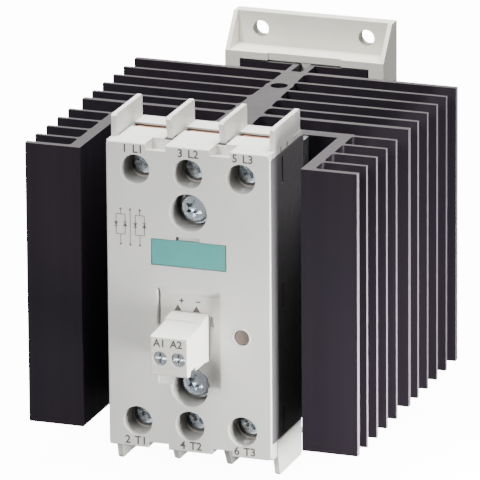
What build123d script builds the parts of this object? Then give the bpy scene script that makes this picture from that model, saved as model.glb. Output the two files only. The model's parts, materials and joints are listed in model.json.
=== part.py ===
from build123d import *
import os

# Three-phase solid state relay on an extruded heat sink, with a rail and wall adapter behind.
# Origin: centre of the wall plane. +Y points into the wall, +Z is up, +X is to the right
# for someone facing the relay. All sizes are in millimetres.

os.makedirs("parts", exist_ok=True)

# ---------------------------------------------------------------- driving dimensions
overall_depth = 103.0            # relay face to wall
face_y = -overall_depth
module_width = 45.0              # width of the relay and of the adapter
half_width = module_width / 2
face_half_height = 41.5          # relay face, from the middle to its top edge
barrier_half_height = 47.5       # phase barriers reach beyond the face
pole_pitch = 14.5
poles = (-pole_pitch, 0.0, pole_pitch)
barrier_xs = (-21.75, -7.25, 7.25, 21.75)
barrier_thickness = 1.4
terminal_z = 34.3                # power screws, above and below the middle
mounting_screw_z = 23.8          # relay fixing screws, 47.6 apart

sink_half_width = 45.5
sink_half_height = 38.2
thick_fin, thin_fin = 1.8, 1.2    # outer fins of a bank, and those between
fin_pitch = 8.0
front_fin_depth = 1.6            # first fin of the front bank, behind the relay face
rear_fin_depth = 43.5            # first fin of the rear bank
arm_inner_x = 30.3
arm_thickness = 3.3
seat_depth = 31.0                # heat sink face that the relay sits on
base_plate_end = 35.0

adapter_half_height = 49.7
wall_hole_x = 15.0               # 30 x 90 wall pattern
wall_hole_z = 45.0
wall_hole_radius = 2.25
rail_half_height = 17.9          # clears a 35 mm top-hat rail
rail_recess = 7.8

label_z = 12.5
lamp_x, lamp_z = 14.4, -8.6
plug_pitch = 5.0
plug_screw_z = -11.1
screw_travel = 2.1               # three turns of a 0.7 mm thread
latch_travel = 4.0


# ---------------------------------------------------------------- helpers
def deep(start, end):
    """Pair of Y values for two depths behind the relay face."""
    return (face_y + start, face_y + end)


def about(middle, half):
    """Pair of values half each side of a middle."""
    return (middle - half, middle + half)


def block(x, y, z, mode=Mode.ADD):
    """Box between the (low, high) pairs x, y and z, in the part being built."""
    spans = (x, y, z)
    size = [high - low for low, high in spans]
    middle = [(high + low) / 2 for low, high in spans]
    with Locations(tuple(middle)):
        Box(*size, mode=mode)


def rod(radius, x, z, y, mode=Mode.ADD):
    """Cylinder along Y between the pair y, on the axis through (x, z)."""
    with Locations(Location((x, (y[0] + y[1]) / 2, z), (90, 0, 0))):
        Cylinder(radius, y[1] - y[0], mode=mode)


def mirrored(z, side):
    """Z pair, kept for the upper side (+1) and turned over for the lower side (-1)."""
    return z if side > 0 else (-z[1], -z[0])


def plan_rectangle(x, y):
    """Rectangle between two pairs in a plan sketch."""
    with Locations(((x[0] + x[1]) / 2, (y[0] + y[1]) / 2)):
        Rectangle(x[1] - x[0], y[1] - y[0])


def outline(points):
    """Closed face through points, in the sketch being built."""
    Polygon(*points, align=None)


def fin_span(first, row, thick):
    """Y values of a fin's two faces, counted in rows from the first fin of its bank."""
    start = first + row * fin_pitch
    return deep(start, start + thick_fin) if thick else deep(start - 0.5, start - 0.5 + thin_fin)


def save(piece, label):
    """Names a finished piece and writes it."""
    piece.part.label = label
    export_step(piece.part, f"parts/{label}.step")


# ---------------------------------------------------------------- heat sink
spine_front, spine_rear = 5.0, 3.0
last_fin_end = rear_fin_depth + 5 * fin_pitch + thick_fin
flange_front, flange_rear = 91.6, 93.4
flange_half_width = 17.9
prong_inner, prong_outer = 1.5, 3.1
channel_depth, channel_radius = 71.4, 2.35

with BuildPart() as heat_sink:
    with BuildSketch(Plane.XY.offset(-sink_half_height)) as profile:
        plan_rectangle(about(0, arm_inner_x + arm_thickness), deep(seat_depth, base_plate_end))
        for side in (-1, 1):
            arm = sorted((side * arm_inner_x, side * (arm_inner_x + arm_thickness)))
            plan_rectangle(arm, deep(front_fin_depth, base_plate_end))
            outward = sorted((side * arm_inner_x, side * sink_half_width))
            for row in range(5):
                plan_rectangle(outward, fin_span(front_fin_depth, row, row == 0))
            prong = sorted((side * prong_inner, side * prong_outer))
            plan_rectangle(prong, deep(last_fin_end - 0.5, flange_rear))
            foot = sorted((side * prong_inner, side * flange_half_width))
            plan_rectangle(foot, deep(flange_front, flange_rear))
        for row in range(6):
            plan_rectangle(about(0, sink_half_width),
                           fin_span(rear_fin_depth, row, row in (0, 5)))
        outline([
            (-spine_front, face_y + base_plate_end - 0.5),
            (spine_front, face_y + base_plate_end - 0.5),
            (spine_rear, face_y + last_fin_end),
            (-spine_rear, face_y + last_fin_end),
        ])
        with Locations((0, face_y + channel_depth)):
            Circle(channel_radius + 1.5)
        spine_roots = [
            corner for corner in profile.vertices()
            if abs(corner.X) < spine_front + 0.1
            and base_plate_end - 0.1 < corner.Y - face_y < last_fin_end - 1
            and abs(corner.Y - face_y - channel_depth) > 5
        ]
        fillet(spine_roots, 1.6)
        arm_roots = [
            corner for corner in profile.vertices()
            if abs(abs(corner.X) - arm_inner_x - arm_thickness) < 0.05
            and corner.Y - face_y < base_plate_end - 1
            and corner.Y - face_y > front_fin_depth + 1
        ]
        fillet(arm_roots, 1.0)
        with Locations((0, face_y + channel_depth)):
            Circle(channel_radius, mode=Mode.SUBTRACT)
    extrude(amount=2 * sink_half_height)
    for z in (-mounting_screw_z, mounting_screw_z):
        rod(2.05, 0, z, deep(seat_depth - 1, 39.0), Mode.SUBTRACT)
save(heat_sink, "heat_sink")

# ---------------------------------------------------------------- power base of the relay
plate_front, plate_rear = 26.6, 30.7

with BuildPart() as relay_base_plate:
    block(about(0, half_width), deep(plate_front, plate_rear), about(0, 38.0))
    for z in (-mounting_screw_z, mounting_screw_z):
        rod(2.3, 0, z, deep(plate_front, plate_rear), Mode.SUBTRACT)
    chamfer(relay_base_plate.edges().filter_by(Axis.Z), 0.4)
save(relay_base_plate, "relay_base_plate")

with BuildPart() as thermal_pad:
    block(about(0, 22.0), deep(plate_rear, seat_depth), about(0, 37.5))
    for z in (-mounting_screw_z, mounting_screw_z):
        rod(3.0, 0, z, deep(plate_rear, seat_depth), Mode.SUBTRACT)
save(thermal_pad, "thermal_pad")


def ceramic_substrate(x):
    """Copper-faced ceramic tile that carries one phase's thyristors."""
    with BuildPart() as tile:
        block(about(x, 6.0), deep(26.0, plate_front), about(0, 22.0))
    return tile


def thyristor_pair(x):
    """Two square chips, one for each direction of the current."""
    with BuildPart() as chips:
        for z in (-5.5, 5.5):
            block(about(x, 3.8), deep(25.5, 26.0), about(z, 3.8))
    return chips


for phase, x in (("l1", -pole_pitch), ("l3", pole_pitch)):
    save(ceramic_substrate(x), f"ceramic_substrate_{phase}")
    save(thyristor_pair(x), f"thyristor_pair_{phase}")

# ---------------------------------------------------------------- copper bars
bar_front, bar_thickness = 14.5, 1.0
bar_half_width = 4.6
bar_top = 41.4
riser_z = 28.3
foot_depth = 25.0


def phase_bar(x, side):
    """Bar from a screw terminal, back and down to the edge of the ceramic tile."""
    with BuildPart() as bar:
        block(about(x, bar_half_width), deep(bar_front, bar_front + bar_thickness),
              mirrored((riser_z, bar_top), side))
        block(about(x, bar_half_width), deep(bar_front, foot_depth + bar_thickness),
              mirrored((riser_z, riser_z + bar_thickness), side))
        block(about(x, bar_half_width), deep(foot_depth, foot_depth + bar_thickness),
              mirrored((13.0, riser_z + bar_thickness), side))
    return bar


for phase, x in (("1", -pole_pitch), ("3", pole_pitch)):
    save(phase_bar(x, 1), f"terminal_bar_l{phase}")
    save(phase_bar(x, -1), f"terminal_bar_t{phase}")

through_depth = 20.0
column_radius = 3.6

with BuildPart() as through_bar:
    for side in (-1, 1):
        block(about(0, bar_half_width), deep(bar_front, bar_front + bar_thickness),
              mirrored((riser_z, bar_top), side))
        block(about(0, bar_half_width), deep(bar_front, through_depth + bar_thickness),
              mirrored((riser_z, riser_z + bar_thickness), side))
    block(about(0, 6.2), deep(through_depth, through_depth + bar_thickness),
          about(0, riser_z + bar_thickness))
    for z in (-mounting_screw_z, mounting_screw_z):
        rod(column_radius + 0.4, 0, z, deep(through_depth - 1, through_depth + 2), Mode.SUBTRACT)
save(through_bar, "through_bar_l2")

# ---------------------------------------------------------------- base housing
wall = 1.6
housing_front, housing_rear = 0.6, 26.4
ledge_rear = 24.3
housing_low, housing_high = -37.2, 39.9
inner_x = half_width - wall
snap_zs = (-33.0, 0.7, 35.0)

with BuildPart() as base_housing:
    for side in (-1, 1):
        side_wall = sorted((side * inner_x, side * half_width))
        block(side_wall, deep(housing_front, housing_rear), (housing_low, housing_high))
        block(about(0, inner_x), deep(10.8, 24.9), mirrored((27.0, 28.0), side))
        rear_wall_top = housing_high - 0.1 if side > 0 else -housing_low
        block(about(0, inner_x), deep(ledge_rear, housing_rear),
              mirrored((29.4, rear_wall_top), side))
        rod(column_radius, 0, side * mounting_screw_z, deep(9.8, housing_rear))
        block(about(0, 6.8), deep(19.6, 25.2), mirrored((26.9, 28.1), side), Mode.SUBTRACT)
        rod(2.3, 0, side * mounting_screw_z, deep(9.0, 27.0), Mode.SUBTRACT)
        for z in snap_zs:
            outer_face = sorted((side * (half_width - 0.6), side * (half_width + 1)))
            block(outer_face, deep(9.2, 10.2), about(z, 3.5), Mode.SUBTRACT)
    long_edges = base_housing.edges().filter_by(Axis.Z).filter_by(
        lambda edge: abs(abs(edge.center().X) - half_width) < 0.01 and edge.length > 70)
    fillet(long_edges, 0.35)
save(base_housing, "base_housing")

# ---------------------------------------------------------------- front cover
cover_rim = 0.6
lip_thickness = 1.1
plate_back = 2.4
tongue_rear = 14.2
tongue_low = 40.0
notch_xs = (-8.85, 8.85)
notch_half_width = 2.85
notch_depth = 6.0
notch_floor = 38.6
seam_start, seam_end = 4.2, 5.1
access_radius = 4.0
collar_start, collar_end, collar_radius = 6.8, 9.9, 3.6
well_radius = 5.15
socket_z = -9.9
recess_half_width = 8.6
recess_low, recess_high = -23.4, 3.2
recess_depth, recess_slope = 1.3, 2.0
groove_depth = 2.0

with BuildPart() as front_cover:
    with BuildSketch(Plane.XZ.offset(-face_y)) as face_outline:
        RectangleRounded(module_width, 2 * face_half_height, 1.2)
    extrude(amount=-cover_rim)
    block(about(0, inner_x - 0.3), deep(0.5, plate_back), about(0, 39.6))
    for side in (-1, 1):
        # roof over the terminals, slotted for the inner barriers
        block(about(0, half_width), deep(0.6, 5.0), mirrored((tongue_low, 41.5), side))
        block(about(0, 20.7), deep(4.0, tongue_rear), mirrored((tongue_low, 41.5), side))
        for x in barrier_xs[1:3]:
            block(about(x, barrier_thickness / 2 + 0.5), deep(6.0, tongue_rear + 1),
                  mirrored((tongue_low - 1, 42.0), side), Mode.SUBTRACT)
        # screwdriver chimneys and fixing wells
        for x in poles:
            rod(access_radius + 1.1, x, side * terminal_z, deep(1.0, collar_end))
        rod(well_radius + 1.1, 0, side * mounting_screw_z, deep(1.0, 9.6))
        for x in notch_xs:
            block(about(x, notch_half_width + 0.8), deep(1.0, notch_depth + 0.8),
                  mirrored((notch_floor - 1.0, 41.0), side))
    # side returns beside the lower barriers
    for side in (-1, 1):
        side_wall = sorted((side * inner_x, side * half_width))
        block(side_wall, deep(0.6, seam_start), (-41.5, housing_low - 0.1))
    front_rim = front_cover.edges().group_by(Axis.Y)[0]
    fillet(front_rim, 0.4)
    for side in (-1, 1):
        for x in notch_xs:
            block(about(x, notch_half_width), deep(-1, notch_depth), mirrored((39.9, 42.0), side),
                  Mode.SUBTRACT)
            block(about(x, notch_half_width), deep(lip_thickness, notch_depth),
                  mirrored((notch_floor, 42.0), side), Mode.SUBTRACT)
        for x in poles:
            rod(access_radius, x, side * terminal_z, deep(-1, collar_start), Mode.SUBTRACT)
            rod(collar_radius, x, side * terminal_z, deep(0, collar_end + 1), Mode.SUBTRACT)
        rod(well_radius, 0, side * mounting_screw_z, deep(-1, 8.0), Mode.SUBTRACT)
        rod(2.3, 0, side * mounting_screw_z, deep(7.0, 11.0), Mode.SUBTRACT)
    # seams between the cover and the shrouds, at both side faces
    for side in (-1, 1):
        lower_corner = sorted((side * (inner_x - 0.5), side * (half_width + 1)))
        block(lower_corner, deep(seam_start, seam_end), (-42.0, housing_low), Mode.SUBTRACT)
        upper_edge = sorted((side * (half_width - 0.4), side * (half_width + 1)))
        block(upper_edge, deep(1.5, 2.1), (39.0, 42.0), Mode.SUBTRACT)
    # label seat with its fingernail notch, and the lamp window
    block(about(0, 10.4), deep(-1, 0.7), about(label_z, 3.65), Mode.SUBTRACT)
    block(about(0, 3.15), deep(-1, 0.5), (label_z + 3.4, label_z + 4.6), Mode.SUBTRACT)
    block((-3.6, -2.8), deep(-1, 1.8), (label_z + 3.4, label_z + 4.6), Mode.SUBTRACT)
    rod(2.15, lamp_x, lamp_z, deep(-1, plate_back + 1), Mode.SUBTRACT)
    # control recess with a sloping upper end, its key pocket, side groove and the socket
    with BuildSketch(Plane.YZ.offset(-recess_half_width)) as recess_side:
        outline([
            (face_y - 1.0, recess_high),
            (face_y, recess_high),
            (face_y + recess_depth, recess_high - recess_slope),
            (face_y + recess_depth, recess_low),
            (face_y - 1.0, recess_low),
        ])
    extrude(amount=2 * recess_half_width, mode=Mode.SUBTRACT)
    block((5.4, 6.4), deep(-1, groove_depth), (-6.9, -4.2), Mode.SUBTRACT)
    block((-8.9, -8.2), deep(-1, groove_depth), (-7.6, recess_high - 0.6), Mode.SUBTRACT)
    block(about(0, 4.7), deep(-1, plate_back + 1), about(socket_z, 5.0), Mode.SUBTRACT)
save(front_cover, "front_cover")


# ---------------------------------------------------------------- terminal shrouds
barrier_rear = 23.8
barrier_root = 46.9
ledge_front = 17.9


def barrier(x, profile, side):
    """Thin upright plate across the middle x, from (depth, z) points for the upper side."""
    corners = [(face_y + depth, side * z) for depth, z in profile]
    with BuildSketch(Plane.YZ.offset(x - barrier_thickness / 2)) as side_face:
        outline(corners)
    extrude(side_face.sketch, amount=barrier_thickness)


def terminal_shroud(side, inner_front, outer_front):
    """Roof behind the wire slots with its four phase barriers, at one end of the relay."""
    rear = [(barrier_rear - 0.6, barrier_half_height), (barrier_rear, barrier_root)]
    with BuildPart() as shroud:
        block(about(0, half_width), deep(ledge_front, ledge_front + 3), mirrored((41.0, 41.5), side))
        block(about(0, half_width), deep(ledge_front + 2.5, ledge_rear),
              mirrored((40.0, 41.5), side))
        for x in barrier_xs[1:3]:
            barrier(x, inner_front + rear + [(barrier_rear, 41.4)], side)
            block(about(x, barrier_thickness / 2), deep(10.8, ledge_rear),
                  mirrored((29.0, 41.5), side))
        for x in (barrier_xs[0], barrier_xs[-1]):
            barrier(x, outer_front + rear + [(barrier_rear, outer_front[0][1])], side)
        rims = shroud.edges().filter_by(Axis.Y).filter_by(
            lambda edge: abs(abs(edge.center().Z) - barrier_half_height) < 0.01)
        fillet(rims, 0.3)
    return shroud


upper_shroud = terminal_shroud(
    1,
    [(7.0, 41.4), (5.5, 46.8), (6.2, barrier_half_height)],
    [(seam_end, 40.0), (seam_end, 41.52), (4.1, 41.52), (4.1, barrier_root),
     (4.7, barrier_half_height)],
)
with upper_shroud:
    # snap marks along both outer faces, and the hooks at their rear ends
    for side in (-1, 1):
        outer = sorted((side * (half_width - 0.45), side * (half_width + 1)))
        for depth in (8.4, 13.2):
            block(outer, deep(depth, depth + 0.7), (39.0, 41.4), Mode.SUBTRACT)
        hook = sorted((side * (half_width - 1.3), side * (half_width - 0.1)))
        block(hook, deep(barrier_rear - 0.2, barrier_rear + 1.0), (40.0, 41.0))
save(upper_shroud, "upper_terminal_shroud")
save(terminal_shroud(
    -1,
    [(6.9, 41.4), (9.8, 46.8), (10.8, barrier_half_height)],
    [(seam_end, -housing_low + 0.1), (seam_end, 41.5), (6.4, 46.8), (7.2, barrier_half_height)],
), "lower_terminal_shroud")

# ---------------------------------------------------------------- face fittings
with BuildPart() as label_plate:
    block(about(0, 10.25), deep(0.1, 0.7), about(label_z, 3.5))
    chamfer(label_plate.edges().group_by(Axis.Y)[0], 0.15)
save(label_plate, "label_plate")

with BuildPart() as lamp_lens:
    rod(2.05, lamp_x, lamp_z, deep(0.35, 5.6))
    chamfer(lamp_lens.edges().group_by(Axis.Y)[0], 0.25)
save(lamp_lens, "lamp_lens")

board_front, board_rear = 9.0, 10.6

with BuildPart() as status_led:
    rod(1.5, lamp_x, lamp_z, deep(6.2, board_front))
    rod(1.9, lamp_x, lamp_z, deep(8.2, board_front))
save(status_led, "status_led")

# ---------------------------------------------------------------- control electronics
pin_xs = (-plug_pitch / 2, plug_pitch / 2)

with BuildPart() as control_board:
    block(about(0, 20.2), deep(board_front, board_rear), about(0, 22.0))
    for z in (-mounting_screw_z, mounting_screw_z):
        rod(well_radius + 1.4, 0, z, deep(board_front - 1, board_rear + 1), Mode.SUBTRACT)
    for x in pin_xs:
        rod(0.6, x, socket_z, deep(board_front - 1, board_rear + 1), Mode.SUBTRACT)
save(control_board, "control_board")

with BuildPart() as control_header:
    block(about(0, 5.9), deep(plate_back + 0.1, board_front), about(socket_z, 6.2))
    block(about(0, 4.7), deep(plate_back - 1, 7.2), about(socket_z, 5.0), Mode.SUBTRACT)
    for x in pin_xs:
        rod(0.6, x, socket_z, deep(6.0, 10.0), Mode.SUBTRACT)
save(control_header, "control_header")

with BuildPart() as header_pins:
    for x in pin_xs:
        rod(0.5, x, socket_z, deep(2.0, 11.6))
        rod(1.1, x, socket_z, deep(board_rear, board_rear + 0.6))
save(header_pins, "header_pins")

with BuildPart() as optocouplers:
    for z in (-13.0, 5.0):
        block(about(-14.4, 3.2), deep(5.6, 8.7), about(z, 4.4))
        for x in (-18.0, -10.8):
            for pin_z in (-2.54, 0.0, 2.54):
                block(about(x, 0.3), deep(6.8, board_front), about(z + pin_z, 0.3))
                block(sorted((x, -14.4 + 3.1 * (1 if x > -14.4 else -1))), deep(6.8, 7.2),
                      about(z + pin_z, 0.3))
save(optocouplers, "optocouplers")

with BuildPart() as input_capacitor:
    with Locations(Location((7.5, face_y + 6.7, 10.0), (90, 0, 0))):
        Cylinder(3.1, 4.6)
    fillet(input_capacitor.edges().group_by(Axis.Y)[0], 0.5)
save(input_capacitor, "input_capacitor")

with BuildPart() as surge_varistors:
    for x in (-pole_pitch, pole_pitch):
        rod(4.6, x, 17.0, deep(board_rear, board_rear + 3.2))
    fillet(surge_varistors.edges().group_by(Axis.Y)[-1], 0.8)
save(surge_varistors, "surge_varistors")

# ---------------------------------------------------------------- power terminals
head_front, head_rear = 7.2, 9.1
head_radius = 3.3
nut_front, nut_rear = 12.4, 14.0
saddle_front, saddle_rear = 18.2, 19.2
slot_angle = 20.0


def terminal_screw(x, z):
    """Captive M4 screw with a slot and cross recess; its tip bears on the copper bar."""
    with BuildPart() as screw:
        rod(head_radius, x, z, deep(head_front, head_rear))
        fillet(screw.edges().group_by(Axis.Y)[0], 0.5)
        rod(2.0, x, z, deep(head_rear, 14.3))
        with Locations(Location((x, face_y + head_front, z), (0, slot_angle, 0))):
            Box(8.0, 2.0, 0.9, mode=Mode.SUBTRACT)
        with Locations(Location((x, face_y + head_front + 0.2, z), (0, slot_angle + 45, 0))):
            Box(3.6, 2.0, 0.9, mode=Mode.SUBTRACT)
            Box(0.9, 2.0, 3.6, mode=Mode.SUBTRACT)
    return screw


def terminal_clamp(x, z):
    """Steel loop round the bar: a threaded front plate, two legs and a rear saddle."""
    with BuildPart() as clamp:
        block(about(x, 6.0), deep(nut_front, saddle_rear), about(z, 4.9))
        block(about(x, 5.0), deep(nut_rear, saddle_front), about(z, 6.0), Mode.SUBTRACT)
        rod(2.06, x, z, deep(nut_front - 1, nut_rear + 1), Mode.SUBTRACT)
    return clamp


terminal_names = ("l1", "l2", "l3", "t1", "t2", "t3")
terminal_places = [(x, side * terminal_z) for side in (1, -1) for x in poles]
for name, (x, z) in zip(terminal_names, terminal_places):
    save(terminal_screw(x, z), f"terminal_screw_{name}")
    save(terminal_clamp(x, z), f"terminal_clamp_{name}")

# ---------------------------------------------------------------- control plug
plug_front, plug_back, tongue_end = -15.4, 0.8, 6.4
plug_half_width = 5.1
plug_low = -15.7

with BuildPart() as plug_housing:
    with BuildSketch(Plane.YZ.offset(-plug_half_width)) as side_profile:
        outline([
            (face_y + plug_front, plug_low),
            (face_y + plug_front, -5.2),
            (face_y - 4.2, -4.5),
            (face_y - 4.2, -3.9),
            (face_y + plug_back, -3.4),
            (face_y + plug_back, -16.1),
            (face_y - 2.9, -15.6),
            (face_y - 9.0, -15.6),
            (face_y - 9.6, -14.5),
            (face_y - 13.0, -14.5),
            (face_y - 13.3, plug_low),
        ])
    extrude(amount=2 * plug_half_width)
    outer_edges = plug_housing.edges().group_by(Axis.Y)[0]
    fillet(outer_edges, 0.3)
    block(about(0, 4.3), deep(0.0, tongue_end), about(socket_z, 4.6))
    for x in pin_xs:
        # screw shaft, clamp chamber, wire way from below, contact chamber
        rod(1.95, x, plug_screw_z, deep(plug_front - 1, -12.4), Mode.SUBTRACT)
        block(about(x, 2.0), deep(-12.6, -3.2), about(plug_screw_z, 2.9), Mode.SUBTRACT)
        block(about(x, 1.3), deep(-8.2, -5.2), (-17.0, plug_screw_z), Mode.SUBTRACT)
        rod(1.05, x, socket_z, deep(-3.6, tongue_end + 1), Mode.SUBTRACT)
save(plug_housing, "plug_housing")

with BuildPart() as plug_contacts:
    for x in pin_xs:
        rod(1.0, x, socket_z, deep(-3.2, 5.8))
        block(about(x, 1.3), deep(-8.9, -8.3), about(plug_screw_z, 2.6))
        block(about(x, 0.5), deep(-8.9, -3.2), (plug_screw_z + 2.1, plug_screw_z + 2.6))
        block(about(x, 0.5), deep(-3.6, -3.2), (socket_z - 0.6, plug_screw_z + 2.6))
        rod(0.56, x, socket_z, deep(1.0, 6.4), Mode.SUBTRACT)
save(plug_contacts, "plug_contacts")


def plug_screw(x):
    """Small slotted screw in the plug's face."""
    with BuildPart() as screw:
        rod(1.75, x, plug_screw_z, deep(-14.9, -13.0))
        rod(1.25, x, plug_screw_z, deep(-13.0, -9.2))
        block(about(x, 2.0), deep(-16.0, -14.2), about(plug_screw_z, 0.25), Mode.SUBTRACT)
        block(about(x, 0.25), deep(-16.0, -14.2), about(plug_screw_z, 1.3), Mode.SUBTRACT)
    return screw


def plug_clamp(x):
    """Small loop that the plug screw draws forward against the contact."""
    with BuildPart() as clamp:
        block(about(x, 1.85), deep(-10.9, -4.2), about(plug_screw_z, 1.9))
        block(about(x, 1.45), deep(-9.8, -4.8), about(plug_screw_z, 3.0), Mode.SUBTRACT)
        rod(1.31, x, plug_screw_z, deep(-12.0, -9.0), Mode.SUBTRACT)
    return clamp


for name, x in zip(("a1", "a2"), pin_xs):
    save(plug_screw(x), f"plug_screw_{name}")
    save(plug_clamp(x), f"plug_clamp_{name}")

# ---------------------------------------------------------------- relay fixing screws
star_radius = 2.5

with BuildPart() as mounting_screws:
    for z in (-mounting_screw_z, mounting_screw_z):
        rod(4.0, 0, z, deep(4.6, 7.2))
    fillet(mounting_screws.edges().group_by(Axis.Y)[0], 1.0)
    for z in (-mounting_screw_z, mounting_screw_z):
        rod(2.0, 0, z, deep(7.2, 38.0))
        with BuildSketch(Plane.XZ.offset(-face_y - 4.0)) as star:
            with Locations((0, z)):
                RegularPolygon(star_radius, 3, rotation=30)
                RegularPolygon(star_radius, 3, rotation=90)
        extrude(star.sketch, amount=-2.2, mode=Mode.SUBTRACT)
save(mounting_screws, "mounting_screws")

with BuildPart() as mounting_washers:
    for z in (-mounting_screw_z, mounting_screw_z):
        rod(4.7, 0, z, deep(7.2, 8.0))
        rod(2.2, 0, z, deep(7.0, 8.2), Mode.SUBTRACT)
save(mounting_washers, "mounting_washers")

# ---------------------------------------------------------------- rail and wall adapter
web_front, web_rear = -9.5, -rail_recess
leg_inner = 18.3
lip_front = -11.4
lip_low, lip_high = 38.6, 40.6
plate_front_y = -3.5
channel_x = 8.4

with BuildPart() as rail_adapter:
    block(about(0, half_width), (web_front, web_rear), about(0, lip_high))
    for side in (-1, 1):
        leg = sorted((side * leg_inner, side * half_width))
        block(leg, (lip_front, web_rear), about(0, lip_high))
        for end in (-1, 1):
            block(leg, (web_rear - 0.1, 0), mirrored((rail_half_height, lip_high), end))
            with BuildSketch(Plane.YZ.offset(side * half_width)) as gusset:
                outline([
                    (lip_front, end * (lip_high - 0.2)),
                    (plate_front_y - 0.6, end * adapter_half_height),
                    (0, end * adapter_half_height),
                    (0, end * (lip_high - 0.2)),
                ])
            extrude(amount=-side * 1.2)
    for end in (-1, 1):
        block(about(0, half_width), (lip_front + 0.9, 0), mirrored((lip_low, lip_high), end))
        for side in (-1, 1):
            thick_end = sorted((side * 10.4, side * half_width))
            block(thick_end, (lip_front, 0), mirrored((lip_low, lip_high), end))
        block(about(0, half_width), (plate_front_y, 0),
              mirrored((lip_low, adapter_half_height), end))
        block(about(0, half_width), (web_rear - 0.1, 0),
              mirrored((rail_half_height, rail_half_height + 2.4), end))
    # fixed hook over the rail's upper edge
    block(about(0, half_width), (-6.2, -3.6), (15.4, rail_half_height + 0.1))
    # latch channel: floor cut away, guide walls and retaining lips
    block(about(0, channel_x), (-7.4, 1.0), (-rail_half_height - 2.5, -rail_half_height + 1.0),
          Mode.SUBTRACT)
    block(about(0, channel_x), (-7.0, plate_front_y), (-lip_high - 0.1, -lip_low + 0.1),
          Mode.SUBTRACT)
    for side in (-1, 1):
        guide = sorted((side * channel_x, side * (channel_x + 1.4)))
        block(guide, (web_rear - 0.1, -1.9), (-lip_low - 0.1, -rail_half_height))
        lip = sorted((side * 6.6, side * (channel_x + 1.4)))
        block(lip, (-3.5, -1.9), (-36.0, -24.0))
    block(about(0, 2.4), (-6.4, plate_front_y + 0.1), (-43.3, -41.3))
    for x in (-wall_hole_x, wall_hole_x):
        for z in (-wall_hole_z, wall_hole_z):
            rod(wall_hole_radius, x, z, (-5.0, 1.0), Mode.SUBTRACT)
    for z in (-28.0, 28.0):
        rod(1.7, 0, z, (-10.0, -7.0), Mode.SUBTRACT)
save(rail_adapter, "rail_adapter")

with BuildPart() as adapter_screws:
    for z in (-28.0, 28.0):
        rod(1.45, 0, z, (-15.0, web_rear))
        rod(2.6, 0, z, (web_rear, web_rear + 0.9))
        block(about(0, 2.0), (web_rear + 0.5, web_rear + 2), about(z, 0.35), Mode.SUBTRACT)
save(adapter_screws, "adapter_screws")

# ---------------------------------------------------------------- rail latch and its spring
latch_front, latch_rear = -6.6, -3.9
window_low, window_high = -44.6, -28.5

with BuildPart() as rail_latch:
    block(about(0, 8.0), (latch_front, latch_rear), (-48.6, -15.4))
    block(about(0, 3.0), (latch_front - 1, latch_rear + 1), (window_low, window_high),
          Mode.SUBTRACT)
    block(about(0, 2.6), (latch_front - 1, latch_rear + 1), (-47.6, -46.0), Mode.SUBTRACT)
    nose = rail_latch.edges().filter_by(Axis.X).filter_by(
        lambda edge: edge.center().Z > -16 and edge.center().Y > latch_rear - 0.1)
    chamfer(nose, 1.6)
save(rail_latch, "rail_latch")

spring_low, spring_high = -41.3, window_high
wire_radius = 0.25
coil_radius = 1.2
spring_middle_y = (latch_front + latch_rear) / 2

with BuildPart() as latch_spring:
    with BuildLine() as coil_line:
        Helix(pitch=1.7, height=spring_high - spring_low - 2 * wire_radius - 0.1,
              radius=coil_radius,
              center=(0, spring_middle_y, spring_low + wire_radius + 0.05))
    coil_start = coil_line.line @ 0
    with BuildSketch(Plane(origin=coil_start, z_dir=coil_line.line % 0)) as wire_section:
        Circle(wire_radius)
    sweep(is_frenet=True)
save(latch_spring, "latch_spring")
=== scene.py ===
import json
import math

import bpy
from mathutils import Matrix, Vector


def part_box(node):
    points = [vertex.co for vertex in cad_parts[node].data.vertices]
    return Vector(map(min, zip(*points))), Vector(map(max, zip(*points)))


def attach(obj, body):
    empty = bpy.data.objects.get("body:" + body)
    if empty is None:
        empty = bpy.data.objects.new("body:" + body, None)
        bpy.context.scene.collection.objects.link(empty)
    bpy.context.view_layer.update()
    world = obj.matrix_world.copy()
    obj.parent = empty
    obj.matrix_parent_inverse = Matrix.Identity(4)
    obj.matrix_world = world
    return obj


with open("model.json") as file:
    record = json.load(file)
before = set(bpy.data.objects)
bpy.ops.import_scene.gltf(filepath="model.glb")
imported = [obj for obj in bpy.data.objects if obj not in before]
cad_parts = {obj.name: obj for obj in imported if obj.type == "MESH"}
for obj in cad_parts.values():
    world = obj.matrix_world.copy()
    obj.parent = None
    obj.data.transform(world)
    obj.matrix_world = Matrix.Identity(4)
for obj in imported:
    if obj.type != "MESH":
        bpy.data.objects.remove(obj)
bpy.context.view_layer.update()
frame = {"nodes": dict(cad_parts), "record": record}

# Metres, in the CAD frame: origin on the wall plane, +Y into the wall, +Z up.
MM = 0.001
ROOT = "relay_frame"
FACE_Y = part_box("front_cover")[0][1]


# ------------------------------------------------------------------ camera and studio
CAMERA_AZIMUTH = 19.70
CAMERA_ELEVATION = 17.60
CAMERA_ROLL = -0.43
CAMERA_DISTANCE = 1.9648
CAMERA_LENS = 568.8
CAMERA_TARGET = Vector((0.01098, -0.09401, 0.01500))

FLOOR_SIZE = 6.0
FLOOR_GAP = 0.0005
GLOW_START, GLOW_FULL = -0.30, -0.14

# Softboxes: place, aim, size of side and power in watts.
SURROUND = 0.09
FLOOR_GLOW = 12.0
SOFTBOXES = {
    "softbox_key": ((-0.34, -1.42, 0.68), (0.0, -0.10, 0.0), 0.40, 22.5),
    "softbox_top": ((0.10, 0.02, 1.0), (0.0, -0.06, 0.0), 0.80, 52.0),
    "softbox_low_right": ((0.125, -0.125, -0.035), (0.02, -0.11, -0.045), 0.06, 0.9),
    "softbox_far_right": ((1.0, -0.55, 0.25), (0.0, -0.08, 0.0), 0.50, 0.7),
    "softbox_sparkle": ((-0.055, -0.245, -0.03), (0.0, -0.10, 0.0), 0.10, 0.018),
}


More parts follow.
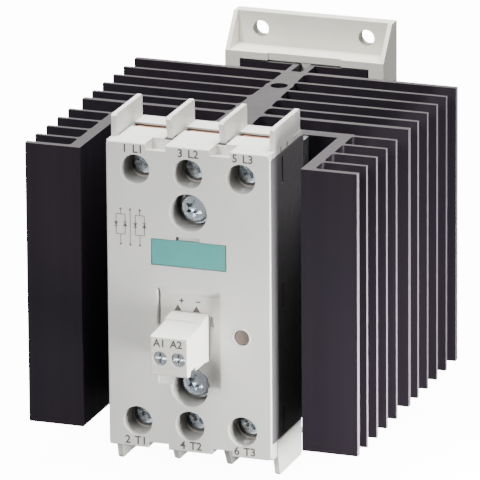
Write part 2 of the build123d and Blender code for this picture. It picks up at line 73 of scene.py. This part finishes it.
def make_camera():
    """Long lens from the right and above, as the relay is usually shown."""
    data = bpy.data.cameras.new("camera")
    data.sensor_width = 36.0
    data.lens = CAMERA_LENS
    data.clip_start = 0.05
    data.clip_end = 20.0
    camera = bpy.data.objects.new("camera", data)
    bpy.context.collection.objects.link(camera)
    azimuth, elevation = math.radians(CAMERA_AZIMUTH), math.radians(CAMERA_ELEVATION)
    back = Vector((
        math.sin(azimuth) * math.cos(elevation),
        -math.cos(azimuth) * math.cos(elevation),
        math.sin(elevation),
    ))
    turn = (-back).to_track_quat("-Z", "Y").to_matrix().to_4x4()
    roll = Matrix.Rotation(math.radians(CAMERA_ROLL), 4, "Z")
    camera.matrix_world = Matrix.Translation(CAMERA_TARGET + back * CAMERA_DISTANCE) @ turn @ roll
    bpy.context.scene.camera = camera


def area_light(name, place, target, size, power):
    """Square softbox aimed at a point."""
    data = bpy.data.lights.new(name, "AREA")
    data.shape = "SQUARE"
    data.size = size
    data.energy = power
    lamp = bpy.data.objects.new(name, data)
    bpy.context.collection.objects.link(lamp)
    lamp.location = place
    lamp.rotation_euler = (Vector(target) - Vector(place)).to_track_quat("-Z", "Y").to_euler()
    lamp.visible_camera = False


def make_studio():
    """Glowing floor that lights nothing else, a dim surround and the softboxes."""
    world = bpy.data.worlds.new("surround")
    world.use_nodes = True
    world.node_tree.nodes["Background"].inputs["Color"].default_value = (1.0, 1.0, 1.0, 1.0)
    world.node_tree.nodes["Background"].inputs["Strength"].default_value = SURROUND
    bpy.context.scene.world = world
    for name, (place, aim, size, power) in SOFTBOXES.items():
        area_light(name, place, aim, size, power)
    floor_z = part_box("rail_adapter")[0][2] - FLOOR_GAP
    bpy.ops.mesh.primitive_plane_add(size=FLOOR_SIZE, location=(0, 0, floor_z))
    floor = bpy.context.active_object
    floor.name = "floor"
    material, shader, tree = new_material("floor_paper")
    shader.inputs["Base Color"].default_value = (0.55, 0.55, 0.55, 1.0)
    shader.inputs["Roughness"].default_value = 0.9
    shader.inputs["Emission Color"].default_value = (1.0, 1.0, 1.0, 1.0)
    place = node(tree, "ShaderNodeSeparateXYZ")
    tree.links.new(object_coordinates(tree), place.inputs["Vector"])
    glow = remap(tree, place.outputs["Y"], 0.0, FLOOR_GLOW, GLOW_START, GLOW_FULL)
    tree.links.new(glow, shader.inputs["Emission Strength"])
    floor.data.materials.append(material)
    floor.visible_diffuse = False
    floor.visible_glossy = False


# ------------------------------------------------------------------ material helpers
def new_material(name):
    """Empty principled material: the material, its shader and its node tree."""
    material = bpy.data.materials.new(name)
    material.use_nodes = True
    return material, material.node_tree.nodes["Principled BSDF"], material.node_tree


def node(tree, kind, values=None, **settings):
    """Adds a node, sets its properties and its unlinked inputs."""
    made = tree.nodes.new(kind)
    for key, value in settings.items():
        setattr(made, key, value)
    for key, value in (values or {}).items():
        made.inputs[key].default_value = value
    return made


def object_coordinates(tree, stretch=(1.0, 1.0, 1.0)):
    """Coordinates in metres that ride with the piece, stretched along each axis."""
    source = node(tree, "ShaderNodeTexCoord")
    mapping = node(tree, "ShaderNodeMapping", {"Scale": stretch})
    tree.links.new(source.outputs["Object"], mapping.inputs["Vector"])
    return mapping.outputs["Vector"]


def noise(tree, vector, scale, detail=3.0, roughness=0.5):
    """Noise value from 0 to 1."""
    made = node(tree, "ShaderNodeTexNoise", {"Scale": scale, "Detail": detail, "Roughness": roughness})
    tree.links.new(vector, made.inputs["Vector"])
    return made.outputs["Fac"]


def remap(tree, value, low, high, source_low=0.3, source_high=0.7):
    """Value stretched from one range to another, clamped."""
    made = node(tree, "ShaderNodeMapRange", {
        "From Min": source_low, "From Max": source_high, "To Min": low, "To Max": high})
    tree.links.new(value, made.inputs["Value"])
    return made.outputs["Result"]


def blend_colours(tree, factor, first, second):
    """Mix of two colours or colour outputs."""
    made = node(tree, "ShaderNodeMix", data_type="RGBA")
    tree.links.new(factor, made.inputs["Factor"])
    for slot_name, colour in (("A", first), ("B", second)):
        socket = [s for s in made.inputs if s.name == slot_name and s.type == "RGBA"][0]
        if isinstance(colour, bpy.types.NodeSocket):
            tree.links.new(colour, socket)
        else:
            socket.default_value = (*colour, 1.0)
    return [s for s in made.outputs if s.type == "RGBA"][0]


def math_node(tree, operation, first, second=None):
    """One arithmetic step on a value output."""
    made = node(tree, "ShaderNodeMath", operation=operation)
    tree.links.new(first, made.inputs[0])
    if isinstance(second, bpy.types.NodeSocket):
        tree.links.new(second, made.inputs[1])
    elif second is not None:
        made.inputs[1].default_value = second
    return made.outputs[0]


def bump(tree, shader, height, distance, strength=1.0, edge_radius=0.0):
    """Bump on the shader, over softly rounded edges when edge_radius is given."""
    made = node(tree, "ShaderNodeBump", {"Distance": distance, "Strength": strength})
    tree.links.new(height, made.inputs["Height"])
    if edge_radius:
        rounded = node(tree, "ShaderNodeBevel", {"Radius": edge_radius}, samples=4)
        tree.links.new(rounded.outputs["Normal"], made.inputs["Normal"])
    tree.links.new(made.outputs["Normal"], shader.inputs["Normal"])


# ------------------------------------------------------------------ materials
def moulded_plastic(name, colour, roughness=0.42, grain=9000.0, depth=0.000012, edge=0.00018, spread=0.04):
    """Injection-moulded plastic: spark-eroded grain, faint mottling and uneven gloss."""
    material, shader, tree = new_material(name)
    coordinates = object_coordinates(tree)
    darker = tuple(channel * (1.0 - spread) for channel in colour)
    lighter = tuple(min(1.0, channel * (1.0 + spread)) for channel in colour)
    mottling = remap(tree, noise(tree, coordinates, 70.0), 0.0, 1.0)
    tree.links.new(blend_colours(tree, mottling, darker, lighter), shader.inputs["Base Color"])
    gloss = remap(tree, noise(tree, coordinates, 420.0, 5.0), roughness - 0.06, roughness + 0.08)
    tree.links.new(gloss, shader.inputs["Roughness"])
    bump(tree, shader, noise(tree, coordinates, grain, 2.0), depth, 0.5, edge)
    return material


# Painted shade inside the cover's bores: it starts this far behind the face and is full this deep.
BORE_SHADE_START, BORE_SHADE_FULL = 1.0 * MM, 7.0 * MM
BORES_HALF_WIDTH, BORES_HALF_HEIGHT = 20.4 * MM, 38.5 * MM


def shade_painted_in_bores(material):
    """Painted shade: darker, duller plastic colour down inside the screwdriver holes and the fixing wells."""
    tree = material.node_tree
    shader = tree.nodes["Principled BSDF"]
    plain = shader.inputs["Base Color"].links[0].from_socket
    place = node(tree, "ShaderNodeSeparateXYZ")
    tree.links.new(object_coordinates(tree), place.inputs["Vector"])
    depth = remap(tree, place.outputs["Y"], 0.0, 1.0, FACE_Y + BORE_SHADE_START, FACE_Y + BORE_SHADE_FULL)
    bore_shade_mask = depth
    for axis, limit in (("X", BORES_HALF_WIDTH), ("Z", BORES_HALF_HEIGHT)):
        inside = math_node(tree, "LESS_THAN", math_node(tree, "ABSOLUTE", place.outputs[axis]), limit)
        bore_shade_mask = math_node(tree, "MULTIPLY", bore_shade_mask, inside)
    # Painted shade colour, blended in deeper inside the bores.
    shaded = blend_colours(tree, bore_shade_mask, plain, (0.25, 0.232, 0.215))
    tree.links.new(shaded, shader.inputs["Base Color"])
    return material


def anodised_extrusion(name):
    """Black anodised extrusion with draw lines along Z, bare sawn ends and a painted highlight on the fin
    tips.
    """
    material, shader, tree = new_material(name)
    plain = object_coordinates(tree)
    draw_lines = noise(tree, object_coordinates(tree, (1.0, 1.0, 0.004)), 420.0, 3.0, 0.5)
    patches = remap(tree, noise(tree, plain, 30.0, 2.0), 0.0, 1.0)
    tone = remap(tree, draw_lines, 0.0, 0.6)
    streaked = blend_colours(tree, tone, (0.0125, 0.0085, 0.0125), (0.0175, 0.0125, 0.0170))
    black = blend_colours(tree, patches, streaked, (0.0120, 0.0095, 0.0145))

    normal = node(tree, "ShaderNodeNewGeometry")
    facing = node(tree, "ShaderNodeSeparateXYZ")
    tree.links.new(normal.outputs["Normal"], facing.inputs["Vector"])
    place = node(tree, "ShaderNodeSeparateXYZ")
    tree.links.new(plain, place.inputs["Vector"])
    sawn = math_node(tree, "GREATER_THAN", math_node(tree, "ABSOLUTE", facing.outputs["Z"]), 0.9)
    # Painted highlight mask: the sideways-facing end faces at the fin tips.
    at_tip = math_node(tree, "GREATER_THAN", math_node(tree, "ABSOLUTE", place.outputs["X"]),
                       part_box("heat_sink")[1][0] - 0.05 * MM)
    sideways = math_node(tree, "GREATER_THAN", math_node(tree, "ABSOLUTE", facing.outputs["X"]), 0.9)
    tip = math_node(tree, "MULTIPLY", at_tip, sideways)

    saw_marks = noise(tree, object_coordinates(tree, (0.04, 1.0, 1.0)), 4200.0, 3.0, 0.7)
    bare = blend_colours(tree, remap(tree, saw_marks, 0.0, 1.0), (0.044, 0.041, 0.043), (0.078, 0.073, 0.075))
    # Painted highlight colour for the fin tips.
    tip_painted_highlight = blend_colours(tree, tone, (0.150, 0.132, 0.150), (0.235, 0.215, 0.235))
    with_tips = blend_colours(tree, tip, black, tip_painted_highlight)
    tree.links.new(blend_colours(tree, sawn, with_tips, bare), shader.inputs["Base Color"])
    shader.inputs["Specular IOR Level"].default_value = 0.20
    tree.links.new(remap(tree, draw_lines, 0.42, 0.50), shader.inputs["Roughness"])
    height = math_node(tree, "ADD", draw_lines, math_node(tree, "MULTIPLY", sawn, saw_marks))
    bump(tree, shader, height, 0.00002, 0.2)
    return material


def plated_steel(name, colour=(0.60, 0.63, 0.66), roughness=0.24):
    """Zinc-plated steel: soft clouds of blue passivation, rubbed gloss and fine turning marks."""
    material, shader, tree = new_material(name)
    coordinates = object_coordinates(tree)
    cloud = remap(tree, noise(tree, coordinates, 260.0, 2.0), 0.0, 1.0)
    blue = (colour[0] * 0.88, colour[1] * 0.95, min(1.0, colour[2] * 1.02))
    tree.links.new(blend_colours(tree, cloud, colour, blue), shader.inputs["Base Color"])
    shader.inputs["Metallic"].default_value = 1.0
    rubbed = remap(tree, noise(tree, coordinates, 900.0, 3.0), roughness - 0.05, roughness + 0.08)
    tree.links.new(rubbed, shader.inputs["Roughness"])
    bump(tree, shader, noise(tree, coordinates, 1500.0, 2.0), 0.00001, 0.15, 0.0001)
    return material


def bare_copper(name):
    """Rolled copper with slight tarnish."""
    material, shader, tree = new_material(name)
    coordinates = object_coordinates(tree, (0.1, 1.0, 1.0))
    tarnish = remap(tree, noise(tree, coordinates, 700.0, 4.0), 0.0, 1.0)
    tree.links.new(blend_colours(tree, tarnish, (0.83, 0.36, 0.20), (0.62, 0.27, 0.15)),
                   shader.inputs["Base Color"])
    shader.inputs["Metallic"].default_value = 0.9
    tree.links.new(remap(tree, tarnish, 0.28, 0.45, 0.0, 1.0), shader.inputs["Roughness"])
    bump(tree, shader, noise(tree, coordinates, 4000.0, 2.0), 0.00001, 0.4, 0.0001)
    return material


def smoked_lens(name):
    """Translucent grey-brown lamp window."""
    material, shader, tree = new_material(name)
    coordinates = object_coordinates(tree)
    cloud = remap(tree, noise(tree, coordinates, 500.0, 3.0), 0.0, 1.0)
    tree.links.new(blend_colours(tree, cloud, (0.16, 0.125, 0.105), (0.20, 0.165, 0.14)),
                   shader.inputs["Base Color"])
    tree.links.new(remap(tree, cloud, 0.3, 0.45, 0.0, 1.0), shader.inputs["Roughness"])
    shader.inputs["Subsurface Weight"].default_value = 0.15
    shader.inputs["Subsurface Radius"].default_value = (0.001, 0.0008, 0.0006)
    bump(tree, shader, noise(tree, coordinates, 3000.0, 2.0), 0.00001, 0.3, 0.0001)
    return material


def circuit_board(name):
    """Green solder resist with faint tracks under it."""
    material, shader, tree = new_material(name)
    coordinates = object_coordinates(tree)
    tracks = node(tree, "ShaderNodeTexBrick", {"Scale": 260.0, "Mortar Size": 0.03})
    tree.links.new(coordinates, tracks.inputs["Vector"])
    factor = tracks.outputs["Fac"]
    tree.links.new(blend_colours(tree, factor, (0.02, 0.14, 0.06), (0.05, 0.26, 0.12)),
                   shader.inputs["Base Color"])
    tree.links.new(remap(tree, noise(tree, coordinates, 800.0), 0.25, 0.4), shader.inputs["Roughness"])
    bump(tree, shader, factor, 0.00003, 0.4)
    return material


def printing_ink(name, colour):
    """Pad-printed ink, slightly uneven."""
    material, shader, tree = new_material(name)
    coordinates = object_coordinates(tree)
    wear = remap(tree, noise(tree, coordinates, 2500.0, 4.0), 0.0, 1.0)
    paler = tuple(channel * 1.35 for channel in colour)
    tree.links.new(blend_colours(tree, wear, colour, paler), shader.inputs["Base Color"])
    tree.links.new(remap(tree, wear, 0.45, 0.6, 0.0, 1.0), shader.inputs["Roughness"])
    return material


def dress_nodes():
    """Gives every CAD node its material, by the record's slot for it."""
    finishes = {
        "black_anodised": anodised_extrusion("black_anodised"),
        "light_grey_plastic": moulded_plastic("light_grey_plastic", (0.60, 0.595, 0.565)),
        "anthracite_plastic": moulded_plastic("anthracite_plastic", (0.100, 0.095, 0.099), 0.46),
        "warm_grey_plastic": moulded_plastic("warm_grey_plastic", (0.62, 0.61, 0.545)),
        "ivory_plastic": moulded_plastic("ivory_plastic", (0.78, 0.77, 0.71), 0.38),
        "teal_label": moulded_plastic("teal_label", (0.072, 0.305, 0.285), 0.45),
        "smoked_lens": smoked_lens("smoked_lens"),
        "zinc_steel": plated_steel("zinc_steel"),
        "copper": bare_copper("copper"),
        "base_metal": plated_steel("base_metal", (0.55, 0.545, 0.54), 0.38),
        "ceramic": moulded_plastic("ceramic", (0.82, 0.80, 0.75), 0.6),
        "board_green": circuit_board("board_green"),
        "black_component": moulded_plastic("black_component", (0.02, 0.02, 0.021), 0.5),
        "varistor_blue": moulded_plastic("varistor_blue", (0.03, 0.10, 0.30), 0.35),
        "thermal_grey": moulded_plastic("thermal_grey", (0.30, 0.30, 0.31), 0.7),
        "tin_plate": plated_steel("tin_plate", (0.66, 0.65, 0.62), 0.35),
        "spring_steel": plated_steel("spring_steel", (0.35, 0.35, 0.36), 0.3),
    }
    # The cover's plastic carries painted shade inside its bores.
    cover_plastic_painted_bore_shade = shade_painted_in_bores(moulded_plastic("cover_plastic_painted_bore_shade", (0.60, 0.595, 0.565)))
    for part in frame["record"]["subparts"]:
        mesh = frame["nodes"][part["node"]].data
        finish = cover_plastic_painted_bore_shade if part["node"] == "front_cover" else finishes[part["material_slot"]]
        if mesh.materials:
            for index in range(len(mesh.materials)):
                mesh.materials[index] = finish
        else:
            mesh.materials.append(finish)
    return finishes


# ------------------------------------------------------------------ printed and moulded details
INK_PROUD = 0.02 * MM
INK_SPREAD = 0.06 * MM
CAPITAL_HEIGHT = 0.70            # of the font's size
RECESS_DEPTH = 1.3 * MM
TERMINAL_MARK_Z = 39.75
TERMINAL_MARK_XS = ((-17.3, -13.7), (-2.04, 1.52), (12.9, 16.44))
TERMINAL_MARK_HEIGHT = 2.15


def add_mesh(name, vertices, faces, finish, slot_name, body=ROOT):
    """New piece from vertices in metres, with its finish and the body it rides on; slot_name is not used."""
    mesh = bpy.data.meshes.new(name)
    mesh.from_pydata(vertices, [], faces)
    mesh.validate()
    mesh.materials.append(finish)
    piece = bpy.data.objects.new(name, mesh)
    bpy.context.collection.objects.link(piece)
    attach(piece, body)
    return piece


def prism(outline, front, back):
    """Vertices and faces of a plate between two Y planes, from an (x, z) outline seen from the front."""
    count = len(outline)
    vertices = [(x, y, z) for y in (front, back) for x, z in outline]
    faces = [tuple(range(count)), tuple(reversed(range(count, 2 * count)))]
    for i in range(count):
        j = (i + 1) % count
        faces.append((i, i + count, j + count, j))
    return vertices, faces


def joined(parts):
    """Vertices and faces of several parts as one."""
    vertices, faces = [], []
    for part_vertices, part_faces in parts:
        start = len(vertices)
        vertices.extend(part_vertices)
        faces.extend(tuple(i + start for i in face) for face in part_faces)
    return vertices, faces


def lettering(text, x, z, height, face):
    """Plain numbers and letters centred at (x, z), standing proud of the Y plane face."""
    curve = bpy.data.curves.new("lettering", "FONT")
    curve.body = text
    curve.size = height / CAPITAL_HEIGHT
    curve.extrude = INK_PROUD / 2
    curve.offset = INK_SPREAD
    curve.align_x = "CENTER"
    curve.align_y = "CENTER"
    curve.resolution_u = 3
    draft = bpy.data.objects.new("lettering", curve)
    bpy.context.collection.objects.link(draft)
    bpy.context.view_layer.update()
    mesh = bpy.data.meshes.new_from_object(draft.evaluated_get(bpy.context.evaluated_depsgraph_get()))
    vertices = [(x + v.co.x, face - INK_PROUD / 2 - v.co.z, z + v.co.y) for v in mesh.vertices]
    faces = [tuple(polygon.vertices) for polygon in mesh.polygons]
    bpy.data.objects.remove(draft)
    bpy.data.curves.remove(curve)
    bpy.data.meshes.remove(mesh)
    return vertices, faces


def stroke(start, end, width, face):
    """Straight printed line between two (x, z) points."""
    direction = (Vector(end) - Vector(start)).normalized()
    side = Vector((-direction[1], direction[0])) * width / 2
    corners = [Vector(start) - side, Vector(end) - side, Vector(end) + side, Vector(start) + side]
    return prism([tuple(corner) for corner in corners], face - INK_PROUD, face)


def ring_of_points(x, z, radius, count=16):
    """Points round a circle in the XZ plane."""
    turns = [2 * math.pi * i / count for i in range(count)]
    return [(x + radius * math.cos(t), z + radius * math.sin(t)) for t in turns]


def dot(x, z, radius, face):
    """Printed round dot."""
    return prism(ring_of_points(x, z, radius), face - INK_PROUD, face)


def mark_terminals(ink):
    """Terminal numbers above and below the screw holes."""
    parts = []
    for index, (number_x, letter_x) in enumerate(TERMINAL_MARK_XS):
        for label, x, z in (
            (str(2 * index + 1), number_x, TERMINAL_MARK_Z),
            (f"L{index + 1}", letter_x, TERMINAL_MARK_Z),
            (str(2 * index + 2), number_x, -TERMINAL_MARK_Z),
            (f"T{index + 1}", letter_x, -TERMINAL_MARK_Z),
        ):
            parts.append(lettering(label, x * MM, z * MM, TERMINAL_MARK_HEIGHT * MM, FACE_Y))
    add_mesh("terminal_marks", *joined(parts), ink, "light_grey_plastic")


def mark_circuit(ink):
    """Circuit symbol: two controlled poles, each a pair of thyristors, and a through pole."""
    parts = []
    line = 0.22 * MM
    for x, switched in ((-18.6, True), (-15.95, False), (-13.3, True)):
        x *= MM
        for z in (23.3, 13.8):
            parts.append(dot(x, z * MM, 0.34 * MM, FACE_Y))
        if not switched:
            parts.append(stroke((x, 23.3 * MM), (x, 13.8 * MM), line, FACE_Y))
            continue
        parts.append(stroke((x, 23.3 * MM), (x, 21.9 * MM), line, FACE_Y))
        parts.append(stroke((x, 16.5 * MM), (x, 13.8 * MM), line, FACE_Y))
        for z in (21.9, 16.5):
            parts.append(stroke((x - 1.25 * MM, z * MM), (x + 1.25 * MM, z * MM), line, FACE_Y))
        for side, tilt in ((-1, 1), (1, -1)):
            leg = x + side * 1.25 * MM
            parts.append(stroke((leg, 21.9 * MM), (leg, 16.5 * MM), line, FACE_Y))
            middle, half = 19.2 * MM, 0.62 * MM
            wide = (leg - half, middle + tilt * half), (leg + half, middle + tilt * half)
            parts.append(prism([*wide, (leg, middle - tilt * half)][::tilt], FACE_Y - INK_PROUD, FACE_Y))
            bar_z = middle - tilt * half
            parts.append(stroke((leg - half, bar_z), (leg + half, bar_z), line, FACE_Y))
    add_mesh("circuit_symbol", *joined(parts), ink, "light_grey_plastic")


def mark_control(ink):
    """Arrowheads and polarity signs on the floor of the recess, above the control plug."""
    parts = []
    floor = FACE_Y + RECESS_DEPTH
    width, arm = 0.36 * MM, 0.62 * MM
    for x, sign_x, sign in ((-3.5, -2.5, "+"), (1.6, 2.1, "-")):
        x, sign_x, sign_z = x * MM, sign_x * MM, -0.5 * MM
        parts.append(prism([(x - 1.05 * MM, -3.3 * MM), (x + 1.05 * MM, -3.3 * MM), (x, -1.6 * MM)],
                           floor - INK_PROUD, floor))
        parts.append(stroke((sign_x - arm, sign_z), (sign_x + arm, sign_z), width, floor))
        if sign == "+":
            parts.append(stroke((sign_x, sign_z - arm), (sign_x, sign_z + arm), width, floor))
    add_mesh("control_marks", *joined(parts), ink, "light_grey_plastic")


def mark_plug(ink):
    """Contact numbers on the plug."""
    low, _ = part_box("plug_housing")
    parts = [lettering(text, x * MM, -7.0 * MM, 2.0 * MM, low[1]) for text, x in (("A1", -2.6), ("A2", 2.0))]
    add_mesh("plug_marks", *joined(parts), ink, "ivory_plastic", "control_plug")


def lamp_rim(finish):
    """Slim moulded collar round the lamp window."""
    low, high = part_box("lamp_lens")
    x, z = (low[0] + high[0]) / 2, (low[2] + high[2]) / 2
    profile = [(2.16, 0.30), (2.16, -0.10), (2.30, -0.16), (2.50, -0.10), (2.58, 0.02)]
    count = 48
    vertices, faces = [], []
    for i in range(count):
        turn = 2 * math.pi * i / count
        for radius, depth in profile:
            vertices.append((x + radius * MM * math.cos(turn), FACE_Y + depth * MM,
                             z + radius * MM * math.sin(turn)))
    steps = len(profile)
    for i in range(count):
        for j in range(steps - 1):
            a, b = i * steps + j, ((i + 1) % count) * steps + j
            faces.append((a, a + 1, b + 1, b))
    rim = add_mesh("lamp_rim", vertices, faces, finish, "light_grey_plastic")
    for polygon in rim.data.polygons:
        polygon.use_smooth = True


make_camera()
make_studio()
finishes = dress_nodes()
ink = printing_ink("printing_ink", (0.070, 0.060, 0.052))
mark_terminals(ink)
mark_circuit(printing_ink("thin_ink", (0.17, 0.150, 0.132)))
mark_control(ink)
mark_plug(ink)
lamp_rim(finishes["light_grey_plastic"])
